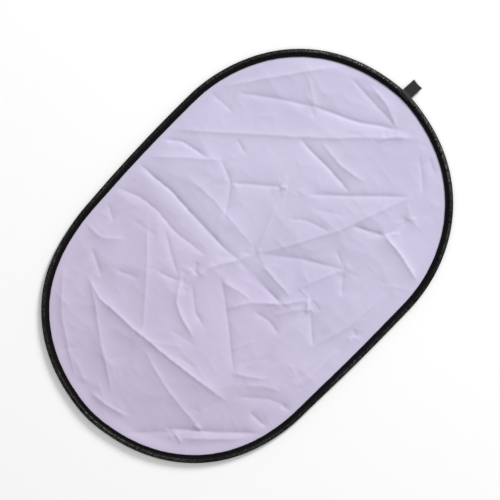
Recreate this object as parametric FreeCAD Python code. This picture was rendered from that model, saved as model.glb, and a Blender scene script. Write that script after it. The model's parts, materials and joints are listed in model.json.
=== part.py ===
import FreeCAD, Part
import math
import os

os.makedirs("parts", exist_ok=True)

# Collapsible oval reflector disc, lying flat, white face up.
# Frame: millimetres, +Z up through the white face, long axis along X with the pull tab at +X.
# The origin is the centre of the white face.

# Outline: two straight sides joined by two half circles, measured over the rim binding.
HALF_LENGTH = 450.0
HALF_WIDTH = 302.0
HALF_STRAIGHT = HALF_LENGTH - HALF_WIDTH

# The hoop flexes everywhere; it is built as one tip segment and a chain of equal ones on each side.
SEGMENTS_PER_SIDE = 8
SEGMENT_COUNT = 2 * SEGMENTS_PER_SIDE + 1
SEGMENT_GAP = 1.0

# Cloths: two faces sewn back to back, their hems thinned inside the binding.
CLOTH = 0.6
CLOTH_GAP = 0.1
HEM_STEP = 0.15
MID_PLANE = -(CLOTH + CLOTH_GAP / 2)

# Rim binding: a tape casing. Depths are measured inwards from the outer edge, heights from MID_PLANE.
RIM_DEPTH = 16.0
LIP_HEIGHT = 1.6
SLOT_HEIGHT = 0.8
BULB_HEIGHT = 4.3
BULB_SHOULDER = 2.0
BULB_DEPTH = 6.6
LIP_START = 8.6
POCKET_NEAR = 1.8
POCKET_DEPTH = 6.0
POCKET_HEIGHT = 3.3
CLOTH_EDGE_DEPTH = 7.2
HEM_MARGIN = 0.6

# Spring-steel band, standing on edge in the binding's pocket, and the sleeve that joins its ends.
BAND_LINE = 4.0
BAND_THICK = 1.0
BAND_HEIGHT = 5.0
SLEEVE_LENGTH = 40.0
SLEEVE_WALL = 0.6
SLEEVE_PLAY = 0.05
CRIMP_LENGTH = 3.0
CRIMP_DEPTH = 0.15

# Seam thread around each lip.
THREAD_DEPTH = 12.5
THREAD_WIDTH = 0.6
THREAD_HEIGHT = 0.35
THREAD_GAP = 0.05

# Webbing pull tab at the tip of the rim.
TAB_WIDTH = 23.5
TAB_WEB = 1.3
TAB_GAP = 0.8
TAB_REACH = 29.5
TAB_GRIP = 8.0
TAB_CLEAR = 0.1
FLEX_GAP = 0.4
TACK_ROWS = (HALF_LENGTH - 6.6, HALF_LENGTH - 2.6)
TACK_WIDTH = 1.0
TACK_HEIGHT = 0.4
TACK_MARGIN = 2.75

Z_AXIS = FreeCAD.Vector(0, 0, 1)


def band_length():
    return 2 * math.pi * (HALF_WIDTH - BAND_LINE) + 4 * HALF_STRAIGHT


def stretches():
    """The outline from the +X tip, counterclockwise: (length, kind, centre x, start angle or side)."""
    half_circle = math.pi * (HALF_WIDTH - BAND_LINE)
    return [
        (half_circle / 2, "arc", HALF_STRAIGHT, 0.0),
        (2 * HALF_STRAIGHT, "side", HALF_STRAIGHT, 1.0),
        (half_circle, "arc", -HALF_STRAIGHT, 90.0),
        (2 * HALF_STRAIGHT, "side", -HALF_STRAIGHT, -1.0),
        (half_circle / 2, "arc", HALF_STRAIGHT, 270.0),
    ]


def swept(profile, start, end):
    """Solids of a closed (depth, height) face swept along the band line between two arc lengths."""
    found = []
    begun = 0.0
    for length, kind, centre, where in stretches():
        low = max(start, begun)
        high = min(end, begun + length)
        if high - low > 1e-6:
            if kind == "arc":
                turn = math.degrees(1 / (HALF_WIDTH - BAND_LINE))
                found.append(arc_piece(profile, centre, where + turn * (low - begun), turn * (high - low)))
            else:
                found.append(side_piece(profile, centre - where * (low - begun), where, high - low))
        begun += length
    whole = found[0]
    for more in found[1:]:
        whole = whole.fuse(more)
    return whole.removeSplitter() if len(found) > 1 else whole


def arc_piece(profile, centre, angle, turn):
    face = profile.copy()
    face.rotate(FreeCAD.Vector(0, 0, 0), FreeCAD.Vector(1, 0, 0), 90)
    face.translate(FreeCAD.Vector(HALF_WIDTH, 0, MID_PLANE))
    face.rotate(FreeCAD.Vector(0, 0, 0), Z_AXIS, angle)
    face.translate(FreeCAD.Vector(centre, 0, 0))
    return face.revolve(FreeCAD.Vector(centre, 0, 0), Z_AXIS, turn)


def side_piece(profile, x, side, length):
    face = profile.copy()
    face.rotate(FreeCAD.Vector(0, 0, 0), FreeCAD.Vector(1, 0, 0), 90)
    face.translate(FreeCAD.Vector(HALF_WIDTH, 0, MID_PLANE))
    face.rotate(FreeCAD.Vector(0, 0, 0), Z_AXIS, 90 * side)
    face.translate(FreeCAD.Vector(x, 0, 0))
    return face.extrude(FreeCAD.Vector(-side * length, 0, 0))


def binding_profile():
    """The casing: a rounded outer bulb around the band's pocket, and two lips that hold the cloth."""
    top = FreeCAD.Vector(-BULB_SHOULDER, BULB_HEIGHT, 0)
    bottom = FreeCAD.Vector(-BULB_SHOULDER, -BULB_HEIGHT, 0)
    nose = Part.Arc(top, FreeCAD.Vector(0, 0, 0), bottom).toShape()
    corners = [
        (BULB_SHOULDER, -BULB_HEIGHT),
        (BULB_DEPTH, -BULB_HEIGHT),
        (LIP_START, -LIP_HEIGHT),
        (RIM_DEPTH, -LIP_HEIGHT),
        (RIM_DEPTH, -SLOT_HEIGHT),
        (POCKET_DEPTH, -SLOT_HEIGHT),
        (POCKET_DEPTH, -POCKET_HEIGHT),
        (POCKET_NEAR, -POCKET_HEIGHT),
        (POCKET_NEAR, POCKET_HEIGHT),
        (POCKET_DEPTH, POCKET_HEIGHT),
        (POCKET_DEPTH, SLOT_HEIGHT),
        (RIM_DEPTH, SLOT_HEIGHT),
        (RIM_DEPTH, LIP_HEIGHT),
        (LIP_START, LIP_HEIGHT),
        (BULB_DEPTH, BULB_HEIGHT),
        (BULB_SHOULDER, BULB_HEIGHT),
    ]
    points = [FreeCAD.Vector(-d, h, 0) for d, h in corners]
    edges = [Part.LineSegment(a, b).toShape() for a, b in zip(points, points[1:])]
    return Part.Face(Part.Wire([nose] + edges))


def rectangle(depth_from, depth_to, height_from, height_to):
    """A rectangular face of a rim section, from its depths inwards and its heights."""
    corners = [
        FreeCAD.Vector(-depth_from, height_from, 0),
        FreeCAD.Vector(-depth_to, height_from, 0),
        FreeCAD.Vector(-depth_to, height_to, 0),
        FreeCAD.Vector(-depth_from, height_to, 0),
    ]
    return Part.Face(Part.makePolygon(corners + corners[:1]))


def band_profile():
    half = BAND_THICK / 2
    return rectangle(BAND_LINE - half, BAND_LINE + half, -BAND_HEIGHT / 2, BAND_HEIGHT / 2)


def segment_span(index):
    """Start and end arc length of a side's segment, counted 1 to SEGMENTS_PER_SIDE from the tab's tip."""
    pitch = band_length() / SEGMENT_COUNT
    return (index - 0.5) * pitch + SEGMENT_GAP / 2, (index + 0.5) * pitch - SEGMENT_GAP / 2


def mirrored(shape):
    return shape.mirror(FreeCAD.Vector(0, 0, 0), FreeCAD.Vector(0, 1, 0))


def tip_segment(profile, from_centre):
    """The segment that crosses the +X tip, or its two ends if a gap is left at the centre."""
    half = segment_span(0)[1]
    left = swept(profile, from_centre, half)
    right = mirrored(left)
    if from_centre > 0:
        return left, right
    return left.fuse(right).removeSplitter()


def oval_plate(inset, low, high):
    """A flat plate with the outline moved inwards by inset, between two heights."""
    radius = HALF_WIDTH - inset
    a = FreeCAD.Vector(HALF_STRAIGHT, -radius, low)
    b = FreeCAD.Vector(HALF_STRAIGHT, radius, low)
    c = FreeCAD.Vector(-HALF_STRAIGHT, radius, low)
    d = FreeCAD.Vector(-HALF_STRAIGHT, -radius, low)
    right = Part.Arc(a, FreeCAD.Vector(HALF_STRAIGHT + radius, 0, low), b).toShape()
    left = Part.Arc(c, FreeCAD.Vector(-HALF_STRAIGHT - radius, 0, low), d).toShape()
    top = Part.LineSegment(b, c).toShape()
    bottom = Part.LineSegment(d, a).toShape()
    return Part.Face(Part.Wire([right, top, left, bottom])).extrude(FreeCAD.Vector(0, 0, high - low))


def face_cloth(outer, inner):
    """A cloth from its outer surface height to its inner one, with a thinner hem inside the binding."""
    towards = 1 if inner > outer else -1
    hem = outer + towards * HEM_STEP
    thin = oval_plate(CLOTH_EDGE_DEPTH, min(hem, inner), max(hem, inner))
    full = oval_plate(RIM_DEPTH + HEM_MARGIN, min(outer, inner), max(outer, inner))
    return thin.fuse(full).removeSplitter()


def seam_thread(side):
    """The lockstitch thread lying on one lip, all the way round."""
    near = LIP_HEIGHT + THREAD_GAP
    low, high = sorted((side * near, side * (near + THREAD_HEIGHT)))
    ring = oval_plate(THREAD_DEPTH, MID_PLANE + low, MID_PLANE + high)
    return ring.cut(oval_plate(THREAD_DEPTH + THREAD_WIDTH, MID_PLANE + low - 1, MID_PLANE + high + 1))


def joining_sleeve():
    """A flat steel sleeve over both band ends, with two crimped dents on its outer face."""
    inner = BAND_THICK / 2 + SLEEVE_PLAY
    outer = inner + SLEEVE_WALL
    tall = BAND_HEIGHT / 2 + SLEEVE_PLAY
    skin = rectangle(BAND_LINE - outer, BAND_LINE + outer, -tall - SLEEVE_WALL / 2, tall + SLEEVE_WALL / 2)
    bore = rectangle(BAND_LINE - inner, BAND_LINE + inner, -tall, tall)
    half = swept(skin.cut(bore).Faces[0], 0, SLEEVE_LENGTH / 2)
    dent = rectangle(BAND_LINE - outer - 1, BAND_LINE - outer + CRIMP_DEPTH, -1.5, 1.5)
    start = SLEEVE_LENGTH / 4 - CRIMP_LENGTH / 2
    half = half.cut(swept(dent, start, start + CRIMP_LENGTH))
    return half.fuse(mirrored(half)).removeSplitter()


def box(x0, x1, y0, y1, z0, z1):
    return Part.makeBox(x1 - x0, y1 - y0, z1 - z0, FreeCAD.Vector(x0, y0, z0))


def tab_sewn_end():
    """The webbing's sewn part: it lies on the rim's outer half at the tip and turns down over its edge."""
    half = TAB_WIDTH / 2
    inner = MID_PLANE + BULB_HEIGHT + TAB_CLEAR
    inside = HALF_LENGTH + TAB_CLEAR
    foot = MID_PLANE - TAB_WEB - TAB_GAP / 2
    over = box(HALF_LENGTH - TAB_GRIP, inside + TAB_WEB, -half, half, inner, inner + TAB_WEB)
    down = box(inside, inside + TAB_WEB, -half, half, foot, inner)
    return over.fuse(down).removeSplitter()


def tab_pivot_x():
    thick = TAB_WEB + TAB_GAP / 2
    return HALF_LENGTH + TAB_CLEAR + TAB_WEB + FLEX_GAP + thick


def tab_loop():
    """The free loop: two plies of webbing, rounded at the flexing root and at the folded end."""
    half = TAB_WIDTH / 2
    thick = TAB_WEB + TAB_GAP / 2
    start = tab_pivot_x()
    end = HALF_LENGTH + TAB_REACH - thick
    outer = flat_link(start, end, thick, half)
    return outer.cut(flat_link(start, end, TAB_GAP / 2, half + 1))


def flat_link(start, end, radius, half):
    """A flat bar along X with half-round ends, lying across Y."""
    bar = box(start, end, -half, half, MID_PLANE - radius, MID_PLANE + radius)
    for x in (start, end):
        base = FreeCAD.Vector(x, -half, MID_PLANE)
        bar = bar.fuse(Part.makeCylinder(radius, 2 * half, base, FreeCAD.Vector(0, 1, 0)))
    return bar.removeSplitter()


def tab_bar_tacks():
    """Two stitch bars across the webbing that hold it to the rim."""
    half = TAB_WIDTH / 2 - TACK_MARGIN
    low = MID_PLANE + BULB_HEIGHT + TAB_CLEAR + TAB_WEB
    bars = [box(x, x + TACK_WIDTH, -half, half, low, low + TACK_HEIGHT) for x in TACK_ROWS]
    return Part.makeCompound(bars)


def save(name, shape):
    shape.exportStep("parts/" + name + ".step")


def build():
    binding = binding_profile()
    band = band_profile()
    save("rim_binding_tip", tip_segment(binding, 0))
    left_end, right_end = tip_segment(band, SEGMENT_GAP / 2)
    save("spring_band_tip_left", left_end)
    save("spring_band_tip_right", right_end)
    for index in range(1, SEGMENTS_PER_SIDE + 1):
        start, end = segment_span(index)
        casing = swept(binding, start, end)
        spring = swept(band, start, end)
        save("rim_binding_left_%d" % index, casing)
        save("rim_binding_right_%d" % index, mirrored(casing))
        save("spring_band_left_%d" % index, spring)
        save("spring_band_right_%d" % index, mirrored(spring))
    save("white_face_cloth", face_cloth(0.0, -CLOTH))
    save("silver_back_cloth", face_cloth(-2 * CLOTH - CLOTH_GAP, -CLOTH - CLOTH_GAP))
    save("seam_thread_front", seam_thread(1))
    save("seam_thread_back", seam_thread(-1))
    save("band_joining_sleeve", joining_sleeve())
    save("pull_tab_sewn_end", tab_sewn_end())
    save("pull_tab_loop", tab_loop())
    save("pull_tab_bar_tacks", tab_bar_tacks())


build()
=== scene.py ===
import bpy
import json
import math
import numpy as np
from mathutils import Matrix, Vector


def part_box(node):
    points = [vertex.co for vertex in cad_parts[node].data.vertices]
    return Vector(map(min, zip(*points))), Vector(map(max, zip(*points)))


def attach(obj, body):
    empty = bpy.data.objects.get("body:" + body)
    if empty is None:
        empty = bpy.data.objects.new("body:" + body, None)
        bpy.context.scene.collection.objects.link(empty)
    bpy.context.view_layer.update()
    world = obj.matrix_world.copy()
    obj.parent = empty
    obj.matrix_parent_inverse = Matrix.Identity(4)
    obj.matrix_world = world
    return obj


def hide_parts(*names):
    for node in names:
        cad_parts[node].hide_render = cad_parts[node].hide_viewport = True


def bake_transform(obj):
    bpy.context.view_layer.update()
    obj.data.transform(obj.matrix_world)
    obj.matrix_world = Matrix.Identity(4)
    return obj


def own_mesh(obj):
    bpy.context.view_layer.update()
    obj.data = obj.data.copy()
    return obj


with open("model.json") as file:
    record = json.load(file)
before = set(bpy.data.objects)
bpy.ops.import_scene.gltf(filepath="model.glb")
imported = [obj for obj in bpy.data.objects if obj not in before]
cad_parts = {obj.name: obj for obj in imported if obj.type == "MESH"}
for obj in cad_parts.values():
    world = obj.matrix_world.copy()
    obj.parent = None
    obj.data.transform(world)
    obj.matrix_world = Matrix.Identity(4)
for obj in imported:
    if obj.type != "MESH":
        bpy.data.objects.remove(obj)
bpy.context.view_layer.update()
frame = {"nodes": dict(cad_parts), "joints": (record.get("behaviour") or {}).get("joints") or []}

MM = 0.001

# A collapsible reflector disc lying flat, white face up: two creased cloths stretched inside a sprung steel
# hoop, which is cased in black tape, and a webbing pull tab. Metres; +Z leaves the white face; the tab is
# at +X. The hoop coils into three loops when its joints close, and the cloths gather inside it.


def box(node):
    """A node's low and high corners."""
    low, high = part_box(node)
    return np.array(low), np.array(high)


# Driving sizes, all from the frame.
TIP_LOW, TIP_HIGH = box("rim_binding_tip")
BAND_LOW, BAND_HIGH = box("spring_band_tip_left")
SEWN_LOW, SEWN_HIGH = box("pull_tab_sewn_end")
JOINTS = {j["name"]: j for j in frame["joints"]}

HALF_LENGTH = TIP_HIGH[0]
HALF_WIDTH = box("rim_binding_left_4")[1][1]
HALF_STRAIGHT = HALF_LENGTH - HALF_WIDTH
RIM_DEPTH = HALF_WIDTH - box("rim_binding_left_4")[0][1]
MID = (TIP_LOW[2] + TIP_HIGH[2]) / 2
BULB = (TIP_HIGH[2] - TIP_LOW[2]) / 2
BAND_LINE = HALF_LENGTH - BAND_HIGH[0] + 0.5 * MM
BAND_HALF = (BAND_HIGH[2] - BAND_LOW[2]) / 2
SIDE_JOINTS = sum(name.startswith("hoop_fold_left_") for name in JOINTS)
SEGMENTS = 2 * SIDE_JOINTS + 1
BAND_LENGTH = 2 * math.pi * (HALF_WIDTH - BAND_LINE) + 4 * HALF_STRAIGHT
PITCH = BAND_LENGTH / SEGMENTS
CLOTH_INSET = HALF_LENGTH - box("white_face_cloth")[1][0]
TAB_END = box("pull_tab_loop")[1][0]
TAB_WIDTH = SEWN_HIGH[1] - SEWN_LOW[1]
PLY = SEWN_HIGH[0] - HALF_LENGTH

# Choices of this script: how much of its length a squashed cloth keeps, how far each cloth lies from the
# middle plane, the rim tape's step along the rim, and the cloths' grid.
SQUASH_KEEP = 0.3
CLOTH_OFFSET = 0.35 * MM
TAPE_STEP = 1.15 * MM
CLOTH_CELL = 2.25 * MM


# ---------------------------------------------------------------- shape helpers


def ease(t):
    """0 up to t = 0, 1 from t = 1, and a smooth rise between."""
    t = np.clip(t, 0, 1)
    return t * t * (3 - 2 * t)


def oval(along, inset):
    """Points (x, y) on the outline moved inwards, at arc lengths along the band line from the tip."""
    along = np.asarray(along, float) % BAND_LENGTH
    inset = np.broadcast_to(inset, along.shape)
    bend = HALF_WIDTH - BAND_LINE
    quarter = math.pi * bend / 2
    side = 2 * HALF_STRAIGHT
    radius = HALF_WIDTH - inset
    stages = [quarter, quarter + side, 3 * quarter + side, 3 * quarter + 2 * side]
    first = along < stages[0]
    top = (along >= stages[0]) & (along < stages[1])
    far = (along >= stages[1]) & (along < stages[2])
    under = (along >= stages[2]) & (along < stages[3])
    angle = np.where(first, along / bend, (along - side) / bend)
    angle = np.where(along >= stages[3], (along - 2 * side) / bend, angle)
    centre = np.where(far, -HALF_STRAIGHT, HALF_STRAIGHT)
    x = centre + radius * np.cos(angle)
    y = radius * np.sin(angle)
    x = np.where(top, HALF_STRAIGHT - (along - stages[0]), x)
    y = np.where(top, radius, y)
    x = np.where(under, -HALF_STRAIGHT + (along - stages[2]), x)
    y = np.where(under, -radius, y)
    return x, y


def settled(points):
    """The sprung hoop's own slight waist and bulge, moved into points of the plain oval."""
    moved = np.array(points, float)
    x, y = moved[:, 0], moved[:, 1]
    share = np.clip(np.abs(y) / HALF_WIDTH, 0, 1) ** 2
    waist = np.exp(-(((x + 217 * MM) / (110 * MM)) ** 2))
    bulge = np.exp(-(((x - 110 * MM) / (110 * MM)) ** 2))
    left = y > 0
    shift = np.where(left, -7.5 * waist + 4.0 * bulge, -2.5 * waist + 1.0 * bulge) * MM
    moved[:, 1] = y + np.sign(y) * shift * share
    turn = np.arctan2(y, x)
    ripple = (0.4 * np.sin(4 * turn) - 0.6 * np.cos(4 * turn) - 1.1 * np.cos(6 * turn)) * MM
    ripple *= outline_share(x, y) ** 2 * (1 - np.exp(-((y / (50 * MM)) ** 2)))
    moved[:, 0] += ripple * np.cos(turn)
    moved[:, 1] += ripple * np.sin(turn)
    return moved


def lattice(x, y, cell, seed):
    """Smooth noise from -1 to 1 on a square lattice."""
    table = np.random.default_rng(seed).uniform(-1, 1, (64, 64))
    u, v = x / cell, y / cell
    i, j = np.floor(u).astype(int), np.floor(v).astype(int)
    a, b = u - i, v - j
    a, b = a * a * (3 - 2 * a), b * b * (3 - 2 * b)
    i, j, k, m = i % 64, j % 64, (i + 1) % 64, (j + 1) % 64
    low = table[i, j] * (1 - a) + table[k, j] * a
    high = table[i, m] * (1 - a) + table[k, m] * a
    return low * (1 - b) + high * b


def mesh_object(name, points, faces, material, smooth=True):
    """An object of one mesh and one material."""
    mesh = bpy.data.meshes.new(name)
    mesh.from_pydata([tuple(p) for p in points], [], [tuple(f) for f in faces])
    mesh.update()
    obj = bpy.data.objects.new(name, mesh)
    bpy.context.scene.collection.objects.link(obj)
    mesh.materials.append(material)
    for poly in mesh.polygons:
        poly.use_smooth = smooth
    return obj


def grid_faces(rows, columns, close_columns):
    """Quads of a grid whose points run column by column inside each row."""
    faces = []
    last = columns if close_columns else columns - 1
    for r in range(rows - 1):
        for c in range(last):
            d = (c + 1) % columns
            faces.append((r * columns + c, r * columns + d, (r + 1) * columns + d, (r + 1) * columns + c))
    return faces


# ---------------------------------------------------------------- materials


def new_material(name, colour, roughness, metallic=0.0, specular=0.5):
    """A plain material, with its node tree and its shader node."""
    material = bpy.data.materials.new(name)
    material.use_nodes = True
    shader = material.node_tree.nodes["Principled BSDF"]
    shader.inputs["Base Color"].default_value = (*colour, 1)
    shader.inputs["Roughness"].default_value = roughness
    shader.inputs["Metallic"].default_value = metallic
    shader.inputs["Specular IOR Level"].default_value = specular
    return material, material.node_tree, shader


def add(tree, kind, **inputs):
    """A new shader node with some of its inputs or settings given."""
    node = tree.nodes.new(kind)
    for key, value in inputs.items():
        if key in node.inputs:
            node.inputs[key].default_value = value
        else:
            setattr(node, key, value)
    return node


def coordinates(tree, scale=(1, 1, 1)):
    """Object coordinates in the frame's metres, scaled."""
    where = tree.nodes.new("ShaderNodeTexCoord")
    mapping = tree.nodes.new("ShaderNodeMapping")
    mapping.inputs["Scale"].default_value = scale
    tree.links.new(where.outputs["Object"], mapping.inputs["Vector"])
    return mapping.outputs["Vector"]


def noise(tree, scale, detail, roughness, stretch=(1, 1, 1)):
    """Noise from 0 to 1 that is fixed to the object."""
    node = add(tree, "ShaderNodeTexNoise", Scale=scale, Detail=detail, Roughness=roughness)
    tree.links.new(coordinates(tree, stretch), node.inputs["Vector"])
    return node.outputs["Fac"]


def spread(tree, value, low, high, least=0.0, most=1.0):
    """A value stretched so that low gives the least and high the most, and held between them."""
    node = tree.nodes.new("ShaderNodeMapRange")
    for name, number in (("From Min", low), ("From Max", high), ("To Min", least), ("To Max", most)):
        node.inputs[name].default_value = number
    tree.links.new(value, node.inputs["Value"])
    return node.outputs["Result"]


def mixed(tree, factor, first, second):
    """A colour between two. The first may be three numbers or another node's colour."""
    node = add(tree, "ShaderNodeMix", data_type="RGBA")
    if isinstance(first, tuple):
        node.inputs["A"].default_value = (*first, 1)
    else:
        tree.links.new(first, node.inputs["A"])
    node.inputs["B"].default_value = (*second, 1)
    tree.links.new(factor, node.inputs["Factor"])
    return node.outputs["Result"]


def weave_bump(tree, spacing, depth, under=None):
    """A cross weave of threads as a bump, with slight unevenness."""
    both = add(tree, "ShaderNodeMath", operation="MAXIMUM")
    for socket, direction in enumerate("XY"):
        threads = add(tree, "ShaderNodeTexWave", Scale=0.5 / spacing / math.pi, Distortion=0.6)
        threads.bands_direction = direction
        tree.links.new(coordinates(tree), threads.inputs["Vector"])
        tree.links.new(threads.outputs["Fac"], both.inputs[socket])
    bump = add(tree, "ShaderNodeBump", Strength=0.35, Distance=depth)
    tree.links.new(both.outputs["Value"], bump.inputs["Height"])
    if under is not None:
        tree.links.new(under, bump.inputs["Normal"])
    return bump.outputs["Normal"]


def cloth_material(name, light, dark, far_shade, roughness, metallic):
    """Satin-weave nylon: soft drift of tone, painted shade that darkens it towards the end away from the tab,
    and a fine cross weave.
    """
    material, tree, shader = new_material(name, light, roughness, metallic, 0.25)
    drift = spread(tree, noise(tree, 4.0, 3.0, 0.55), 0.35, 0.65)
    split = tree.nodes.new("ShaderNodeSeparateXYZ")
    tree.links.new(coordinates(tree), split.inputs["Vector"])
    # Painted shade: the base colour darkens towards the end away from the tab and the key light. On the white
    # cloth it also shifts slightly pinker.
    far_end_shade = spread(tree, split.outputs["X"], 0.05, -0.42)
    tone = mixed(tree, far_end_shade, mixed(tree, drift, light, dark), far_shade)
    tree.links.new(tone, shader.inputs["Base Color"])
    tree.links.new(weave_bump(tree, 0.00045, 0.00005), shader.inputs["Normal"])
    return material


def tape_material(name, colour, worn, roughness):
    """Dark woven tape with dusty fibres, and a crinkled shine where its "rubbed" value is high."""
    material, tree, shader = new_material(name, colour, roughness, 0.0, 0.2)
    link = tree.links.new
    fuzz = spread(tree, noise(tree, 900.0, 4.0, 0.7), 0.5, 0.8)
    link(mixed(tree, fuzz, colour, worn), shader.inputs["Base Color"])
    rubbed = add(tree, "ShaderNodeAttribute", attribute_name="rubbed").outputs["Fac"]
    shine = add(tree, "ShaderNodeMath", operation="MULTIPLY")
    link(spread(tree, noise(tree, 210.0, 4.0, 0.75), 0.38, 0.66), shine.inputs[0])
    link(rubbed, shine.inputs[1])
    link(shine.outputs["Value"], shader.inputs["Specular IOR Level"])
    crinkle = add(tree, "ShaderNodeBump", Distance=0.0032)
    link(rubbed, crinkle.inputs["Strength"])
    link(noise(tree, 330.0, 3.0, 0.6), crinkle.inputs["Height"])
    link(weave_bump(tree, 0.0009, 0.0002, crinkle.outputs["Normal"]), shader.inputs["Normal"])
    return material


def webbing_material(name, colour, worn):
    """Matt webbing with a slight mottle and a cross weave."""
    material, tree, shader = new_material(name, colour, 0.8, 0.0, 0.06)
    tone = mixed(tree, noise(tree, 500.0, 4.0, 0.6), colour, worn)
    tree.links.new(tone, shader.inputs["Base Color"])
    tree.links.new(weave_bump(tree, 0.0008, 0.0002), shader.inputs["Normal"])
    return material


def thread_material(name, colour):
    """Matt twisted sewing thread."""
    material, tree, shader = new_material(name, colour, 0.7, 0.0, 0.05)
    twist = add(tree, "ShaderNodeTexWave", Scale=900.0, Distortion=0.3)
    twist.bands_direction = "DIAGONAL"
    tree.links.new(coordinates(tree), twist.inputs["Vector"])
    bump = add(tree, "ShaderNodeBump", Strength=0.5, Distance=0.0001)
    tree.links.new(twist.outputs["Fac"], bump.inputs["Height"])
    tree.links.new(bump.outputs["Normal"], shader.inputs["Normal"])
    return material


def steel_material(name, colour):
    """Rolled spring steel, streaked along the band."""
    material, tree, shader = new_material(name, colour, 0.35, 1.0)
    streaks = noise(tree, 1.0, 4.0, 0.5, (60, 60, 4000))
    tree.links.new(spread(tree, streaks, 0.0, 1.0, 0.25, 0.5), shader.inputs["Roughness"])
    return material


# The third colour of each cloth is painted shade: the darker tone the cloth takes at the end away from the
# tab.
WHITE = cloth_material(
    "white_satin_nylon", (0.575, 0.53, 0.70), (0.54, 0.495, 0.665), (0.52, 0.46, 0.605), 0.42, 0.0
)
SILVER = cloth_material(
    "silver_satin_nylon", (0.62, 0.63, 0.65), (0.5, 0.51, 0.53), (0.58, 0.59, 0.61), 0.3, 0.75
)
TAPE = tape_material("black_binding_tape", (0.006, 0.006, 0.006), (0.013, 0.0115, 0.012), 0.25)
WEBBING = webbing_material("charcoal_webbing", (0.027, 0.026, 0.029), (0.036, 0.034, 0.037))
THREAD = thread_material("black_thread", (0.008, 0.008, 0.009))
STEEL = steel_material("blued_spring_steel", (0.33, 0.36, 0.42))


# ---------------------------------------------------------------- how the hoop folds


def turned(points, pivot, axis, angle):
    """Points turned about an axis; angle may be one value or one for each point."""
    axis = np.array(axis, float) / np.linalg.norm(axis)
    p = points - pivot
    c = np.cos(angle)[..., None]
    s = np.sin(angle)[..., None]
    return pivot + p * c + np.cross(axis, p) * s + axis * (p @ axis)[..., None] * (1 - c)


def hinge(side, index):
    """A fold joint's pivot, axis and full turn."""
    joint = JOINTS["hoop_fold_%s_%d" % (side, index)]
    return np.array(joint["pos_m"], float), joint["axis"], math.radians(joint["range_deg"][1])


def fold_span(index):
    """The two arc lengths between which the hoop bends at a side's hinge."""
    return (index - 1) * PITCH, index * PITCH


def folded(points, along, share=1.0):
    """Where points of the flat disc are carried by the hoop at their arc length, folded by a share."""
    moved = np.array(points, float)
    signed = np.where(along > BAND_LENGTH / 2, along - BAND_LENGTH, along)
    for side, towards in (("left", 1), ("right", -1)):
        for index in range(SIDE_JOINTS, 0, -1):
            pivot, axis, turn = hinge(side, index)
            start, end = fold_span(index)
            weight = ease((towards * signed - start) / (end - start))
            chosen = weight > 0
            moved[chosen] = turned(moved[chosen], pivot, axis, share * turn * weight[chosen])
    return moved


# ---------------------------------------------------------------- rim binding, stitches and band


# The casing's upper outline as (depth inwards, height) in mm, from the lip out over the bulb.
BULB_LINE = [
    (13.5, 1.65), (10.5, 1.9), (8.4, 2.9), (6.6, 4.0), (5.1, 4.25), (3.7, 3.8), (2.3, 2.9), (1.0, 1.75),
    (0.25, 0.8),
]
# The slot between its two lips: how far in from the outer edge it ends, and half its height.
SLOT_END, SLOT_HALF = 8.0 * MM, 0.8 * MM


def rim_top(depth):
    """Height of the casing's upper side above its middle plane at a depth from its outer edge."""
    depths = [d * MM for d, h in BULB_LINE[::-1]]
    heights = [h * MM for d, h in BULB_LINE[::-1]]
    return float(np.interp(depth, depths, heights))


def tape_section(corner_steps):
    """The casing's closed section as (depth inwards, height): a rounded bulb and two lips."""
    upper = [(RIM_DEPTH, 1.5 * MM)] + [(d * MM, h * MM) for d, h in BULB_LINE]
    lower = [(d, -h) for d, h in reversed(upper)]
    slot = [(RIM_DEPTH, -SLOT_HALF), (SLOT_END, -SLOT_HALF), (SLOT_END, SLOT_HALF), (RIM_DEPTH, SLOT_HALF)]
    rounded = smooth_line(upper + [(0.0, 0.0)] + lower, corner_steps)
    return np.array(rounded + slot)


def smooth_line(points, steps):
    """Points of a curve that passes through the given ones."""
    p = np.array([points[0]] + list(points) + [points[-1]], float)
    found = []
    for i in range(1, len(p) - 2):
        for k in range(steps):
            t = k / steps
            a = 2 * p[i]
            b = (p[i + 1] - p[i - 1]) * t
            c = (2 * p[i - 1] - 5 * p[i] + 4 * p[i + 1] - p[i + 2]) * t * t
            d = (3 * p[i] - p[i - 1] - 3 * p[i + 1] + p[i + 2]) * t ** 3
            found.append(tuple(0.5 * (a + b + c + d)))
    found.append(tuple(p[-2]))
    return found


def puckers(along, around):
    """Gathers of the tape over the band, in metres outwards: fine ribs in drifting clusters."""
    ripple = np.sin(2 * math.pi * along / (4.6 * MM) + 2.5 * lattice(along, around * 20 * MM, 17 * MM, 3))
    cluster = 0.55 + 0.45 * lattice(along, 0 * along, 60 * MM, 4)
    slack = 0.35 + 0.65 * ease((np.cos(2 * math.pi * along / BAND_LENGTH) + 0.35) / 1.0)
    crumple = lattice(along, around * 30 * MM, 2.6 * MM, 5)
    return (0.2 * ripple * cluster + 0.24 * crumple) * slack * MM


def tape_points(along, section):
    """Rows of section points swept along the outline, with the tape's puckers."""
    rows = len(along)
    count = len(section)
    core = 4.4 * MM
    s = np.repeat(along, count)
    depth = np.tile(section[:, 0], rows)
    height = np.tile(section[:, 1], rows)
    around = np.tile(np.arange(count) / count, rows)
    outside = ease((11 * MM - depth) / (6 * MM)) * (np.abs(height) > 0.9 * MM)
    lip = ((depth > 9 * MM) & (np.abs(height) > 1.0 * MM)) * 0.35
    swell = puckers(s, around) * np.maximum(outside, lip)
    reach = np.hypot(depth - core, height) + 1e-9
    depth = depth + swell * (depth - core) / reach * (outside > 0)
    height = height + swell * np.sign(height) * np.clip(np.abs(height) / reach, 0.3, 1)
    edge = (depth > 15.5 * MM) * 0.22 * MM * lattice(s, 0 * s, 9 * MM, 8)
    x, y = oval(s, depth + edge)
    return settled(np.stack([x, y, MID + height], axis=1))


def span_rows(start, end, step):
    """Even stations between two arc lengths, about a step apart."""
    return np.linspace(start, end, max(2, int(round((end - start) / step)) + 1))


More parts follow.
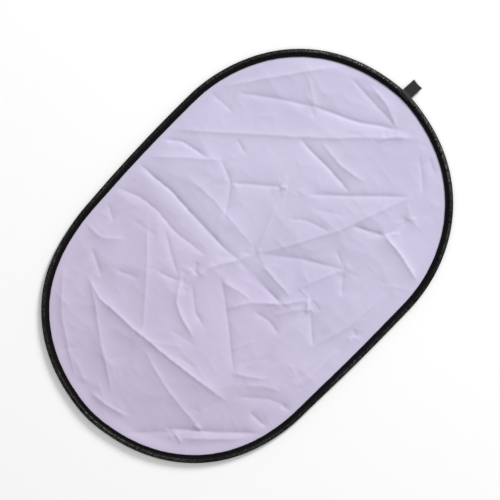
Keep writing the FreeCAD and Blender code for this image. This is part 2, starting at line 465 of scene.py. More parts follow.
def binding_piece(name, start, end):
    """A stretch of the tape casing, with how much its crown has been rubbed stored on its points."""
    section = tape_section(4)
    along = span_rows(start, end, TAPE_STEP)
    points = tape_points(along, section)
    obj = mesh_object(name, points, grid_faces(len(along), len(section), True), TAPE)
    depth = section[:, 0]
    crown = ease((depth - 1.2 * MM) / (1.6 * MM)) * ease((9.0 * MM - depth) / (3.0 * MM))
    by_tab = ease((np.cos(2 * math.pi * along / BAND_LENGTH) - 0.8) / 0.2)
    wear = 0.5 + 0.2 * lattice(along, 0 * along, 80 * MM, 41) + 0.7 * by_tab
    rubbed = obj.data.attributes.new("rubbed", "FLOAT", "POINT")
    rubbed.data.foreach_set("value", (0.03 + np.outer(wear, crown)).ravel())
    return obj


def thread_bars(signs, ends_a, ends_b, radius, sides=6):
    """Short rounded thread bars between pairs of points, bowed up for a sign of 1 and down for -1."""
    points, faces = [], []
    stations = np.array([0.0, 0.12, 0.35, 0.65, 0.88, 1.0])
    lift = np.array([-0.9, 0.1, 0.75, 0.75, 0.1, -0.9])
    width = np.array([0.5, 0.9, 1.0, 1.0, 0.9, 0.5])
    up = np.array([0, 0, 1.0])
    for a, b, sign in zip(ends_a, ends_b, signs):
        line = b - a
        side = np.cross(up, line / np.linalg.norm(line))
        base = len(points)
        for t, h, w in zip(stations, lift, width):
            middle = a + line * t + up * sign * radius * h
            for k in range(sides):
                angle = 2 * math.pi * k / sides
                points.append(middle + radius * w * (math.cos(angle) * side + math.sin(angle) * up))
        for r in range(len(stations) - 1):
            here, there = base + r * sides, base + (r + 1) * sides
            for k in range(sides):
                m = (k + 1) % sides
                faces.append((here + k, here + m, there + m, there + k))
        faces.append(tuple(base + k for k in reversed(range(sides))))
        faces.append(tuple(base + (len(stations) - 1) * sides + k for k in range(sides)))
    return points, faces


def stitch_piece(name, start, end):
    """Lockstitches along both lips."""
    length, pitch = 2.6 * MM, 3.3 * MM
    row_depth, row_height, radius = 13.0 * MM, 1.78 * MM, 0.28 * MM
    count = int((end - start) / pitch)
    begin = start + (np.arange(count) + 0.5) * (end - start) / count - length / 2
    ends_a, ends_b, signs = [], [], []
    for sign in (1, -1):
        height = MID + sign * row_height
        for ends, at in ((ends_a, begin), (ends_b, begin + length)):
            x, y = oval(at, row_depth)
            ends.extend(settled(np.stack([x, y, np.full(len(x), height)], axis=1)))
        signs += [sign] * count
    points, faces = thread_bars(signs, ends_a, ends_b, radius)
    obj = mesh_object(name, points, faces, THREAD)
    return obj


def band_piece(name, start, end):
    """A stretch of the spring-steel band, standing on edge inside the casing."""
    along = span_rows(start, end, 6 * MM)
    half = 0.5 * MM
    corners = [(BAND_LINE - half, -BAND_HALF), (BAND_LINE + half, -BAND_HALF),
               (BAND_LINE + half, BAND_HALF), (BAND_LINE - half, BAND_HALF)]
    points = []
    for s in along:
        for depth, height in corners:
            x, y = oval(np.array([s]), depth)
            points.append((x[0], y[0], MID + height))
    faces = grid_faces(len(along), 4, True)
    faces += [(3, 2, 1, 0), tuple(4 * (len(along) - 1) + k for k in range(4))]
    obj = mesh_object(name, settled(np.array(points)), faces, STEEL, smooth=False)
    return obj


def carried(obj, side, index):
    """Leaves a piece that crosses a side's hinge fixed where it lies, or lets it ride on the side's last
    segment.
    """
    names = ["tip"] + ["hoop_%s_%d" % (side, k) for k in range(1, SIDE_JOINTS + 1)]
    if index > SIDE_JOINTS:
        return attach(obj, names[-1])
    start, end = fold_span(index)
    towards = 1 if side == "left" else -1
    ends, margin = [], 2 * MM
    for s in (start + margin, end - margin):
        x, y = oval(np.array([towards * s]), 8 * MM)
        ends.append((float(x[0]), float(y[0]), MID))
    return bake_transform(obj)


def rim():
    """All the pieces of the rim: each but the last on a side spans one hinge, and neighbours meet where the
    hoop is rigid.
    """
    for side, towards in (("left", 1), ("right", -1)):
        for index in range(1, SIDE_JOINTS + 2):
            start, end = fold_span(index)
            end = min(end, BAND_LENGTH / 2)
            low, high = sorted((towards * start, towards * end))
            tag = "%s_%d" % (side, index)
            casing = carried(binding_piece("binding_" + tag, low, high), side, index)
            stitches = carried(stitch_piece("stitches_" + tag, low, high), side, index)
            band = carried(band_piece("steel_band_" + tag, low, high), side, index)
            if index <= SIDE_JOINTS:
                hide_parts("rim_binding_" + tag)
                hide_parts("spring_band_" + tag)
    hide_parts("rim_binding_tip")
    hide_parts("spring_band_tip_left", "spring_band_tip_right")
    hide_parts("seam_thread_front", "seam_thread_back")


# ---------------------------------------------------------------- the two face cloths

# Creases of the white cloth in mm: (line, height, reach to its left, reach to its right). Left and right
# are as seen from above when walking along the line. A negative height is a crease pressed downwards.
CREASES = [
    # the long fold from the left side to the middle, and the softer folds beside it
    ([(-20, 280), (-14, 191), (-18, 119), (-21, 47), (-17, 8)], -3.0, 8, 10),
    ([(-18, 2), (-20, -55), (-20, -118)], -2.4, 8, 9),
    ([(28, 200), (32, 120), (22, 5)], 1.6, 16, 30),
    ([(8, -35), (6, -70), (2, -115)], 2.2, 14, 16),
    ([(-86, 285), (-65, 232), (-60, 190), (-66, 138), (-58, 62)], -2.4, 16, 12),
    ([(-78, 150), (-100, 115), (-123, 70)], -1.3, 6, 8),
    ([(-71, -2), (-62, -35), (-57, -63)], 1.3, 7, 10),
    ([(-69, -88), (-61, -122), (-67, -152)], -1.9, 10, 10),
    # straight folds near the tab end
    ([(210, 265), (270, 222), (403, 126)], 2.2, 16, 22),
    ([(218, 235), (262, 175), (303, 112)], -1.7, 6, 8),
    ([(303, 112), (345, 25), (386, -36)], -2.6, 8, 9),
    ([(335, 160), (303, 112)], 0.9, 6, 7),
    ([(65, 290), (240, 90), (405, -80)], 1.5, 14, 7),
    ([(394, 102), (392, 40), (386, -36)], -1.5, 10, 10),
    ([(413, 62), (404, 10), (388, -32)], 1.3, 8, 8),
    ([(340, -20), (372, -42), (390, -62)], 1.5, 10, 12),
    ([(238, 86), (236, 20), (231, -54)], -2.2, 8, 9),
    ([(262, 50), (256, -4), (266, -60)], 1.7, 14, 14),
    ([(181, 278), (183, 218)], -1.2, 6, 6),
    ([(378, -105), (360, -130), (331, -160)], -1.2, 7, 7),
    ([(391, -119), (376, -152)], -1.2, 6, 6),
    # left of the middle, towards the tab
    ([(45, 280), (72, 248), (83, 192)], -1.8, 6, 6),
    ([(5, 272), (60, 215), (99, 168)], 1.8, 14, 20),
    ([(99, 168), (82, 125), (55, 105), (22, 84)], -1.6, 7, 7),
    ([(82, 122), (112, 86), (143, 50)], -1.7, 6, 10),
    ([(150, 175), (141, 144)], -1.0, 5, 5),
    ([(143, 50), (150, 36)], 1.3, 5, 5),
    ([(172, -2), (235, -70), (306, -144)], -2.2, 7, 14),
    ([(312, -150), (165, -95), (25, -18)], 2.3, 14, 44),
    ([(15, -10), (60, 8), (112, 32)], 1.1, 8, 12),
    ([(112, -8), (132, -36), (147, -80)], -1.2, 6, 7),
    # from the middle to the right side
    ([(23, -18), (70, -78), (115, -155)], -1.9, 7, 14),
    ([(115, -155), (70, -136), (25, -117)], 1.5, 8, 16),
    ([(110, -158), (92, -172), (75, -187)], -1.4, 8, 7),
    ([(132, -118), (116, -152)], -1.1, 5, 6),
    ([(188, -108), (219, -164)], -2.2, 6, 8),
    ([(219, -164), (213, -215), (200, -278)], 2.9, 12, 14),
    ([(219, -164), (245, -172), (277, -178)], -1.2, 6, 8),
    ([(270, -168), (282, -186)], 1.1, 5, 5),
    ([(-103, -44), (-62, -68), (-16, -120), (28, -150)], 1.9, 12, 8),
    ([(-45, -121), (5, -153)], 1.1, 8, 6),
    ([(24, -146), (2, -162)], 1.8, 5, 5),
    ([(11, -164), (-12, -190), (-35, -216)], -2.0, 8, 7),
    ([(-4, -162), (-92, -161), (-156, -160)], 1.5, 20, 12),
    ([(100, -210), (50, -212), (-6, -214)], 1.3, 14, 10),
    ([(137, -248), (44, -241), (-26, -221)], 1.5, 10, 14),
    ([(-8, -259), (-56, -258), (-106, -260)], 1.6, 12, 10),
    ([(33, -262), (46, -252)], -1.0, 5, 5),
    # around the middle, away from the tab
    ([(-115, 42), (-70, 36), (12, -8)], 1.5, 12, 9),
    ([(-66, 8), (-103, -45), (-163, -118), (-181, -141)], -1.9, 8, 18),
    ([(-91, 188), (-160, 120), (-245, 48)], 1.7, 10, 20),
    ([(-129, 60), (-163, 34), (-181, -6), (-190, -38)], 2.2, 7, 9),
    ([(-146, 104), (-137, 80), (-129, 62)], -1.6, 6, 6),
    ([(-118, 35), (-150, -2), (-158, -30)], -1.3, 7, 7),
    ([(-78, 62), (-98, 48)], -1.6, 6, 6),
    ([(-200, 165), (-182, 124)], -1.2, 8, 8),
    ([(-178, 282), (-175, 233), (-147, 198)], 1.6, 12, 16),
    ([(-118, 272), (-139, 237)], -1.2, 7, 7),
    ([(-205, 232), (-218, 205), (-230, 180)], -1.7, 7, 7),
    # long folds at the far end
    ([(-250, 195), (-264, 150), (-259, 45), (-250, -40), (-243, -100), (-232, -172)], 3.7, 17, 20),
    ([(-254, 185), (-279, 146), (-324, 87), (-379, 3)], 1.7, 12, 8),
    ([(-268, 250), (-345, 175), (-405, 80)], 1.5, 14, 9),
    ([(-276, 8), (-297, -63), (-302, -110), (-307, -175)], 1.7, 9, 18),
    ([(-408, 28), (-404, -10), (-394, -50)], 2.2, 10, 10),
    ([(-384, 101), (-404, 52)], 1.1, 10, 10),
    ([(-423, -72), (-385, -105), (-351, -139)], -1.8, 7, 12),
    ([(-352, -128), (-309, -177), (-227, -272)], -3.2, 10, 11),
    ([(-345, -161), (-301, -210), (-259, -248)], 1.8, 9, 7),
    ([(-350, -143), (-354, -166)], 1.6, 5, 5),
    ([(-311, -158), (-308, -178)], 1.5, 5, 5),
    # small gathers along the right side
    ([(-185, -142), (-165, -172), (-147, -199)], 1.7, 14, 10),
    ([(-210, -184), (-171, -231), (-152, -276)], -1.3, 10, 10),
    ([(-164, -257), (-158, -281)], -1.7, 5, 5),
    ([(-215, -223), (-216, -248), (-214, -267)], -1.9, 8, 8),
    ([(-184, -180), (-160, -205), (-146, -234)], 1.0, 8, 8),
]


# Places where creases meet in a small crushed knot, in mm.
KNOTS = [
    (143, 50), (147, 34), (14, -11), (113, -156), (26, -150), (12, -164), (-129, 61), (-92, 54), (277, -178),
    (386, -36), (-351, -142), (219, -164), (-106, -241), (33, -258), (303, 111), (-20, -118), (83, 123),
]


def spoke(x, y, angle, length, height, reach):
    """A straight crinkle that starts a little way out from a point."""
    dx, dy = math.cos(angle), math.sin(angle)
    return [(x + 4 * dx, y + 4 * dy), (x + length * dx, y + length * dy)], height, reach, reach


def small_creases():
    """Short crinkles that fan out from the knots, and others scattered over the cloth."""
    draw = np.random.default_rng(11)
    found = []
    for x, y in KNOTS:
        for angle in draw.uniform(0, 2 * math.pi, 5):
            height = draw.choice([-1, 1]) * draw.uniform(0.3, 0.65)
            found.append(spoke(x, y, angle, draw.uniform(12, 34), height, draw.uniform(2.6, 4.5)))
    for _ in range(90):
        x, y = draw.uniform(-430, 430), draw.uniform(-290, 290)
        height = draw.choice([-1, 1]) * draw.uniform(0.25, 0.6)
        angle = draw.choice([0.1, -0.75, -1.45]) + draw.normal(0, 0.3)
        found.append(spoke(x, y, angle, draw.uniform(22, 75), height, draw.uniform(4, 9)))
    return found


CREASES += small_creases()


def crease_line(line, number):
    """A crease as a fine line that wanders slightly, in metres."""
    line = np.array(line, float) * MM
    steps = np.linalg.norm(np.diff(line, axis=0), axis=1)
    count = max(4, int(steps.sum() / (9 * MM)))
    at = np.linspace(0, steps.sum(), count)
    begun = np.concatenate([[0], np.cumsum(steps)])
    x, y = np.interp(at, begun, line[:, 0]), np.interp(at, begun, line[:, 1])
    inner = np.sqrt(np.clip(np.sin(math.pi * at / steps.sum()), 0, 1))
    x += inner * 1.5 * MM * lattice(at, 0 * at + number * 70 * MM, 34 * MM, 21)
    y += inner * 1.5 * MM * lattice(at, 0 * at + number * 70 * MM, 34 * MM, 22)
    return np.stack([x, y], axis=1)


def measured(x, y, line):
    """Distance of points to a line, nearest place on it, share along it, and whether they lie left of it."""
    nearest = np.full(len(x), np.inf)
    side, share = np.zeros(len(x)), np.zeros(len(x))
    foot = np.zeros((len(x), 2))
    for k, (a, b) in enumerate(zip(line, line[1:])):
        length = np.linalg.norm(b - a)
        d = (b - a) / length
        t = np.clip((x - a[0]) * d[0] + (y - a[1]) * d[1], 0, length)
        dx, dy = x - a[0] - t * d[0], y - a[1] - t * d[1]
        away = np.hypot(dx, dy)
        closer = away < nearest
        nearest = np.where(closer, away, nearest)
        side = np.where(closer, d[0] * dy - d[1] * dx, side)
        share = np.where(closer, (k + t / length) / (len(line) - 1), share)
        foot[closer] = (a + t[:, None] * d)[closer]
    return nearest, foot, share, side > 0


def near(x, y, line, reach):
    """Which points lie in a line's box grown by a reach."""
    low, high = line.min(0) - reach, line.max(0) + reach
    return (x > low[0]) & (x < high[0]) & (y > low[1]) & (y < high[1])


def crease_height(x, y, crease, line):
    """Height in metres of one crease: a sharp crest that falls away to each side and fades at its ends."""
    _, height, left, right = crease
    away, _, share, on_left = measured(x, y, line)
    fade = np.clip(np.minimum(share, 1 - share) * 5, 0, 1) ** 0.7
    reach = np.where(on_left, left, right) * MM * (0.35 + 0.65 * fade)
    crest = np.sqrt(away ** 2 + (0.35 * MM) ** 2) - 0.35 * MM
    broad = 0.93 * np.exp(-crest / reach)
    pinch = 0.25 * np.exp(-crest / (2.3 * MM))
    return height * MM * (0.12 + 0.88 * fade) * (broad + pinch)


def cloth_height(x, y):
    """Height of the creased cloth above its flat plane, in metres."""
    z = np.zeros(len(x))
    for number, crease in enumerate(CREASES):
        line = crease_line(crease[0], number)
        chosen = near(x, y, line, 6 * MM * max(crease[2:]))
        z[chosen] += crease_height(x[chosen], y[chosen], crease, line)
    u = x + 6 * MM * lattice(x, y, 40 * MM, 25)
    v = y + 6 * MM * lattice(x, y, 40 * MM, 26)
    for cell, tall, seed in ((130, 1.5, 31), (62, 0.75, 32), (27, 0.3, 33), (13, 0.1, 35)):
        z += tall * MM * (1 - np.abs(lattice(u, v, cell * MM, seed))) ** 2
    z += 2.0 * MM * lattice(x, y, 210 * MM, 34) - 1.4 * MM
    lowest, softness = -3.5 * MM, 0.4 * MM
    return lowest + softness * np.logaddexp(0, (z - lowest) / softness)


def drawn_to_creases(points, cell):
    """Moves grid points beside a crease on to it, so that the cloth's mesh has an edge along every crest."""
    reach = 0.5 * cell
    for number, crease in enumerate(CREASES):
        line = crease_line(crease[0], number)
        chosen = np.flatnonzero(near(points[:, 0], points[:, 1], line, reach))
        if len(chosen) == 0:
            continue
        away, foot, _, _ = measured(points[chosen, 0], points[chosen, 1], line)
        close = away < reach
        inside = edge_distance(points[chosen, 0], points[chosen, 1]) > 3 * MM
        moved = chosen[close & inside]
        points[moved, :2] = foot[close & inside]
    return points


def outline_share(x, y):
    """1 on the cloth's cut edge, falling evenly to 0 at the middle of the disc."""
    radius = HALF_WIDTH - CLOTH_INSET
    h = HALF_STRAIGHT
    x, y = np.abs(x), np.abs(y)
    span = radius ** 2 - h ** 2
    ends = (np.sqrt((h * x) ** 2 + span * (x ** 2 + y ** 2)) - h * x) / span
    return np.where(x * radius <= h * y, y / radius, ends)


def outline_place(x, y):
    """Arc length along the band line of the edge point that lies straight out from the middle."""
    share = np.maximum(outline_share(x, y), 1e-9)
    x, y = x / share, y / share
    bend = HALF_WIDTH - BAND_LINE
    quarter = math.pi * bend / 2
    turn = bend * np.arctan2(np.abs(y), np.abs(x) - HALF_STRAIGHT)
    turn = np.where(np.abs(x) <= HALF_STRAIGHT, quarter + HALF_STRAIGHT - np.abs(x), turn)
    half = np.where(x >= 0, turn, BAND_LENGTH / 2 - turn)
    return np.where(y >= 0, half, BAND_LENGTH - half)


def flat_cloth():
    """Even square grid of the flat cloth, its border drawn on to the cut edge: points and faces."""
    cell = CLOTH_CELL
    half_x = int(HALF_LENGTH / cell) + 1
    half_y = int(HALF_WIDTH / cell) + 1
    gx, gy = np.meshgrid(np.arange(-half_x, half_x + 1) * cell, np.arange(-half_y, half_y + 1) * cell)
    inside = edge_distance(gx, gy)
    share = np.maximum(outline_share(gx, gy), 1e-9)
    border = np.abs(inside) <= 0.6 * cell
    gx = np.where(border, gx / share, gx)
    gy = np.where(border, gy / share, gy)
    kept = inside >= -0.6 * cell
    number = np.where(kept, np.cumsum(kept).reshape(kept.shape) - 1, -1)
    corners = np.stack([number[:-1, :-1], number[:-1, 1:], number[1:, 1:], number[1:, :-1]], axis=2)
    faces = []
    for corner in corners.reshape(-1, 4).tolist():
        held = [k for k in corner if k >= 0]
        if len(held) >= 3:
            faces.append(tuple(held))
    points = np.stack([gx[kept], gy[kept], np.full(kept.sum(), MID)], axis=1)
    return drawn_to_creases(points, cell), faces


def edge_distance(x, y):
    """How far points lie inside the cloth's cut edge."""
    reach = np.hypot(np.maximum(np.abs(x) - HALF_STRAIGHT, 0), y)
    return HALF_WIDTH - CLOTH_INSET - reach


def creased(flat, offset):
    """The open disc's cloth: stretched flat at its edge and creased inside it."""
    points = settled(flat)
    free = ease((edge_distance(flat[:, 0], flat[:, 1]) - 7 * MM) / (26 * MM))
    points[:, 2] += cloth_height(flat[:, 0], flat[:, 1]) * free + offset
    return points


def evened(values, faces, times):
    """Values at the cloth's points, each averaged with those of the faces around it."""
    triples = np.array([(f[0], f[1], f[2], f[-1]) for f in faces])
    count = np.bincount(triples.ravel(), minlength=len(values))
    for _ in range(times):
        middle = values[triples].mean(1)
        values = np.bincount(triples.ravel(), np.repeat(middle, 4), len(values)) / np.maximum(count, 1)
    return values


def gathered(flat, faces, offset):
    """The cloth inside the folded hoop: each loop's cloth runs in to the middle in soft pleats."""
    s = outline_place(flat[:, 0], flat[:, 1])
    q = 1 - np.clip(outline_share(flat[:, 0], flat[:, 1]), 0, 1)
    x, y = oval(s, CLOTH_INSET)
    edge = settled(np.stack([x, y, np.full(len(x), MID)], axis=1))
    rim_place = folded(edge, s)
    hub = folded_centre()
    out = rim_place[:, :2] - hub
    theta = np.arctan2(out[:, 1], out[:, 0])
    inwards = 1 - q
    pleat = np.sin(11 * theta + 2.2 * np.sin(3 * theta + 5 * q)) * 0.6 + np.sin(23 * theta + 9 * q) * 0.25
    fullness = np.sin(math.pi * np.clip((q - 0.2) / 0.8, 0, 1) ** 0.8) ** 1.5
    points = np.zeros_like(flat)
    reach = inwards ** 0.95
    points[:, 0] = hub[0] + out[:, 0] * reach
    points[:, 1] = hub[1] + out[:, 1] * reach
    lift = (rim_place[:, 2] - MID) * inwards ** 0.35
    points[:, 2] = MID + lift + 4.5 * MM * pleat * fullness
    swirl = 0.10 * fullness * np.sin(5 * theta + 3 * q)
    dx, dy = points[:, 0] - hub[0], points[:, 1] - hub[1]
    points[:, 0] = hub[0] + dx * np.cos(swirl) - dy * np.sin(swirl)
    points[:, 1] = hub[1] + dx * np.sin(swirl) + dy * np.cos(swirl)
    points[:, 2] += evened(off_the_rim(points, s) * ease(q / 0.06), faces, 8) + offset
    return points


def off_the_rim(points, along):
    """How far folded cloth has to rise or sink to lie over or under the parts of the rim that cross it."""
    stops = np.arange(0, BAND_LENGTH, 6 * MM)
    x, y = oval(stops, 6 * MM)
    line = folded(settled(np.stack([x, y, np.full(len(x), MID)], axis=1)), stops)
    nearest = np.full(len(points), np.inf)
    plan, above = nearest.copy(), nearest.copy()
    for stop, place in zip(stops, line):
        apart = np.abs((along - stop + BAND_LENGTH / 2) % BAND_LENGTH - BAND_LENGTH / 2)
        beside = np.hypot(points[:, 0] - place[0], points[:, 1] - place[1])
        over = points[:, 2] - place[2]
        away = np.hypot(beside, over)
        closer = (away < nearest) & (apart > 90 * MM)
        nearest = np.where(closer, away, nearest)
        plan = np.where(closer, beside, plan)
        above = np.where(closer, over, above)
    needed = 6.0 * MM * ease((34 * MM - plan) / (28 * MM))
    return np.where(np.abs(above) < needed, np.where(above > 0, needed, -needed) - above, 0)


def folded_ring():
    """Points along the band line of the folded hoop."""
    s = np.linspace(0, BAND_LENGTH, 400, endpoint=False)
    x, y = oval(s, BAND_LINE)
    return folded(np.stack([x, y, np.full(len(x), MID)], axis=1), s)


def folded_centre():
    """The middle of the stacked loops, in plan."""
    return folded_ring()[:, :2].mean(0)


def points_group(obj, name):
    """A Geometry Nodes modifier on an object that moves its points: its tree, and its Set Position node."""
    group = bpy.data.node_groups.new(name, "GeometryNodeTree")
    group.interface.new_socket("Geometry", in_out="INPUT", socket_type="NodeSocketGeometry")
    group.interface.new_socket("Geometry", in_out="OUTPUT", socket_type="NodeSocketGeometry")
    entry = group.nodes.new("NodeGroupInput")
    leave = group.nodes.new("NodeGroupOutput")
    put = group.nodes.new("GeometryNodeSetPosition")
    group.links.new(entry.outputs[0], put.inputs["Geometry"])
    group.links.new(put.outputs["Geometry"], leave.inputs[0])
    obj.modifiers.new(name, "NODES").node_group = group
    return group, entry, put


def point_share(group, geometry, index, start, end):
    """How far along X one point of a geometry has moved from a start to an end: a range node, 0 to 1."""
    sample = group.nodes.new("GeometryNodeSampleIndex")
    sample.data_type = "FLOAT_VECTOR"
    sample.inputs["Index"].default_value = index
    group.links.new(geometry, sample.inputs["Geometry"])
    group.links.new(group.nodes.new("GeometryNodeInputPosition").outputs[0], sample.inputs["Value"])
    split = group.nodes.new("ShaderNodeSeparateXYZ")
    group.links.new(sample.outputs["Value"], split.inputs[0])
    share = group.nodes.new("ShaderNodeMapRange")
    share.inputs["From Min"].default_value = float(start)
    share.inputs["From Max"].default_value = float(end)
    group.links.new(split.outputs["X"], share.inputs["Value"])
    return share


def folding_modifier(obj, rest, fold):
    """Moves each point from its flat place to its folded place by the share that the piece is squashed."""
    group, entry, put = points_group(obj, "fold_" + obj.name)
    far = int(np.argmax(rest[:, 0]))
    share = point_share(group, entry.outputs[0], far, rest[far, 0], rest[far, 0] * SQUASH_KEEP)
    mix = group.nodes.new("ShaderNodeMix")
    mix.data_type = "VECTOR"
    group.links.new(share.outputs["Result"], mix.inputs["Factor"])
    for name, places, socket in (("rest_place", rest, 4), ("fold_place", fold, 5)):
        stored = obj.data.attributes.new(name, "FLOAT_VECTOR", "POINT")
        stored.data.foreach_set("vector", np.asarray(places, np.float32).ravel())
        source = group.nodes.new("GeometryNodeInputNamedAttribute")
        source.data_type = "FLOAT_VECTOR"
        source.inputs["Name"].default_value = name
        group.links.new(source.outputs["Attribute"], mix.inputs[socket])
    group.links.new(mix.outputs[1], put.inputs["Position"])


def cloth(name, material, node, offset, under):
    """One face cloth. Returns it with its flat and its folded points."""
    flat, faces = flat_cloth()
    if under:
        faces = [(f[0],) + f[:0:-1] for f in faces]
    rest = creased(flat, offset)
    obj = mesh_object(name, rest, faces, material)
    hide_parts(node)
    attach(obj, "tip")
    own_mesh(obj)
    fold = gathered(flat, faces, offset)
    folding_modifier(obj, rest, fold)
    return obj, rest, fold


# ---------------------------------------------------------------- pull tab

TAB_SKEW = math.radians(-3.5)


def skewed(points):
    """The tab is sewn on slightly askew about the rim's tip, and its end bows inwards."""
    p = np.array(points, float)
    x, y = p[:, 0] - HALF_LENGTH, p[:, 1].copy()
    x = x * (1 - 0.045 * np.clip(x / (20 * MM), 0, 1) * (1 - (2 * y / TAB_WIDTH) ** 2))
    p[:, 0] = HALF_LENGTH + x * math.cos(TAB_SKEW) - y * math.sin(TAB_SKEW)
    p[:, 1] = x * math.sin(TAB_SKEW) + y * math.cos(TAB_SKEW)
    return p


def webbing_strip(name, path, thick):
    """Webbing that follows a path of (x, height), with raised ribs and rounded selvedges."""
    path = np.array(path, float)
    direction = np.gradient(path, axis=0)
    direction /= np.linalg.norm(direction, axis=1)[:, None]
    normal = np.stack([-direction[:, 1], direction[:, 0]], axis=1)
    columns = 33
    across = np.linspace(-0.5, 0.5, columns)
    rib = 0.06 * MM * np.cos(2 * math.pi * across * TAB_WIDTH / (1.5 * MM))
    rim_round = np.sqrt(np.clip(1 - (np.abs(across) / 0.5) ** 14, 0, 1))
    half = (thick / 2 - 0.08 * MM) * (0.35 + 0.65 * rim_round) + rib * rim_round
    loop = []
    for p, n in zip(path, normal):
        top = [(p[0] + n[0] * h, a * TAB_WIDTH, p[1] + n[1] * h) for a, h in zip(across, half)]
        low = [(p[0] - n[0] * h, a * TAB_WIDTH, p[1] - n[1] * h) for a, h in zip(across[::-1], half[::-1])]
        loop += top + low
    count = 2 * columns
    faces = grid_faces(len(path), count, True)
    faces.append(tuple(range(count))[::-1])
    faces.append(tuple((len(path) - 1) * count + k for k in range(count)))
    obj = mesh_object(name, skewed(loop), faces, WEBBING)
    return obj


def tab_sewn_end(thick):
    """The webbing's sewn end, lying on the rim's outer half and turned down over its edge."""
    lie = thick / 2 + 0.25 * MM
    over = [(HALF_LENGTH - d * MM, MID + rim_top(d * MM) + lie) for d in (11, 9.4, 7.8, 6, 4.2, 2.6, 1.2)]
    over += [(HALF_LENGTH + 0.3 * MM, MID + 2.1 * MM), (HALF_LENGTH + 1.0 * MM, MID + 0.9 * MM)]
    sewn = webbing_strip("tab_sewn_end", smooth_line(over, 5), thick)
    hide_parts("pull_tab_sewn_end")
    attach(sewn, "tip")


def tab_loop(thick):
    """The free loop: two plies that leave the rim's edge and turn back at the folded end."""
    start = HALF_LENGTH + 1.25 * MM
    end = TAB_END - thick / 2
    lift = 0.8 * MM
    upper = [(start, MID + 1.3 * MM), (start + 2 * MM, MID + lift), (end - 6 * MM, MID + lift * 1.2)]
    bend = [(end - 1.2 * MM, MID + lift), (end, MID), (end - 1.2 * MM, MID - lift)]
    lower = [(end - 6 * MM, MID - lift * 1.2), (start + 2 * MM, MID - lift), (start, MID - 0.5 * MM)]
    loop = webbing_strip("tab_loop", smooth_line(upper + bend + lower, 8), thick)
    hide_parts("pull_tab_loop")
    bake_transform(loop)


def tab_bar_tacks(thick):
    """Two rows of close slanting stitches across the sewn end."""
    slant, high = 0.7 * MM, thick + 0.24 * MM
    ends_a, ends_b = [], []
    for depth in (9.6 * MM, 7.4 * MM):
        first = MID + rim_top(depth) + high
        second = MID + rim_top(depth - slant) + high
        for y in np.arange(-9.5, 9.5, 1.6) * MM:
            ends_a.append(np.array([HALF_LENGTH - depth, y, first]))
            ends_b.append(np.array([HALF_LENGTH - depth + slant, y + 1.3 * MM, second]))
    points, faces = thread_bars([1] * len(ends_a), ends_a, ends_b, 0.22 * MM)
    tacks = mesh_object("tab_bar_tacks", skewed(points), faces, THREAD)
    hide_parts("pull_tab_bar_tacks")
    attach(tacks, "tip")


def tab():
    """The pull tab, in webbing slightly thinner than the solid's ply."""
    thick = PLY * 0.85
    tab_sewn_end(thick)
    tab_loop(thick)
    tab_bar_tacks(thick)


# ---------------------------------------------------------------- stage


def floor(sheet, rest, fold):
    """A plain floor under the rim, set lower under the folded hoop, whose bottom loop hangs below the tip."""
    size, gap = 6.0, 0.3 * MM
    z = TIP_LOW[2] - gap
    obj = mesh_object(
        "floor",
        [(-size, -size, z), (size, -size, z), (size, size, z), (-size, size, z)],
        [(0, 1, 2, 3)],
        new_material("pale_floor", (0.93, 0.93, 0.93), 0.9)[0],
    )
    group, _, put = points_group(obj, "floor_height")
    source = group.nodes.new("GeometryNodeObjectInfo")
    source.inputs["Object"].default_value = sheet
    far = int(np.argmin(rest[:, 0]))
    share = point_share(group, source.outputs["Geometry"], far, rest[far, 0], fold[far, 0])
    lowest = folded_ring()[:, 2].min() - BULB
    share.inputs["To Max"].default_value = float(lowest - TIP_LOW[2])
    drop = group.nodes.new("ShaderNodeCombineXYZ")
    group.links.new(share.outputs["Result"], drop.inputs["Z"])
    group.links.new(drop.outputs["Vector"], put.inputs["Offset"])


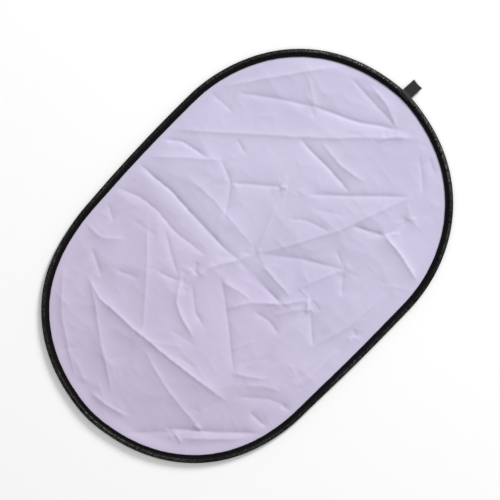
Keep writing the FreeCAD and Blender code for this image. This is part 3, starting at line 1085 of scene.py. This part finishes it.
def area_light(name, place, size, power):
    """A round area light that points at the frame's origin."""
    data = bpy.data.lights.new(name, "AREA")
    data.shape = "DISK"
    data.size = size
    data.energy = power
    obj = bpy.data.objects.new(name, data)
    bpy.context.scene.collection.objects.link(obj)
    obj.location = place
    obj.rotation_euler = (-Vector(place)).to_track_quat("-Z", "Y").to_euler()


# The picture is taken from straight above, with the disc's long axis turned to run to the upper right.
ROLL = math.radians(45.4)
CAMERA_HEIGHT = 3.6
PICTURE_WIDTH = 0.9869


def picture_direction(right, up):
    """A horizontal direction in the frame from one in the picture."""
    x = right * math.cos(ROLL) + up * math.sin(ROLL)
    y = -right * math.sin(ROLL) + up * math.cos(ROLL)
    return x, y


def lights():
    """An even white room and one large soft key light, low and beyond the tab."""
    world = bpy.data.worlds.new("studio")
    bpy.context.scene.world = world
    world.use_nodes = True
    world.node_tree.nodes["Background"].inputs["Color"].default_value = (1, 1, 1, 1)
    world.node_tree.nodes["Background"].inputs["Strength"].default_value = 0.62
    bpy.context.scene.view_settings.view_transform = "Standard"
    x, y = picture_direction(0.62, 0.78)
    area_light("key", (8 * x, 8 * y, 3.4), 2.4, 850)


def camera():
    """The camera, straight above the disc and slightly off its middle."""
    data = bpy.data.cameras.new("camera")
    data.sensor_width = 36
    data.lens = data.sensor_width * CAMERA_HEIGHT / PICTURE_WIDTH
    obj = bpy.data.objects.new("camera", data)
    bpy.context.scene.collection.objects.link(obj)
    x, y = picture_direction(5.7 * MM, 11.8 * MM)
    obj.location = (x, y, CAMERA_HEIGHT)
    obj.rotation_euler = (0, 0, -ROLL)
    bpy.context.scene.camera = obj


def joining_sleeve():
    """The sleeve over the band's ends keeps its plain solid, in the band's steel."""
    slots = frame["nodes"]["band_joining_sleeve"].data.materials
    slots.clear()
    slots.append(STEEL)


rim()
joining_sleeve()
white = cloth("white_cloth", WHITE, "white_face_cloth", CLOTH_OFFSET, False)
cloth("silver_cloth", SILVER, "silver_back_cloth", -CLOTH_OFFSET, True)
tab()
floor(*white)
lights()
camera()
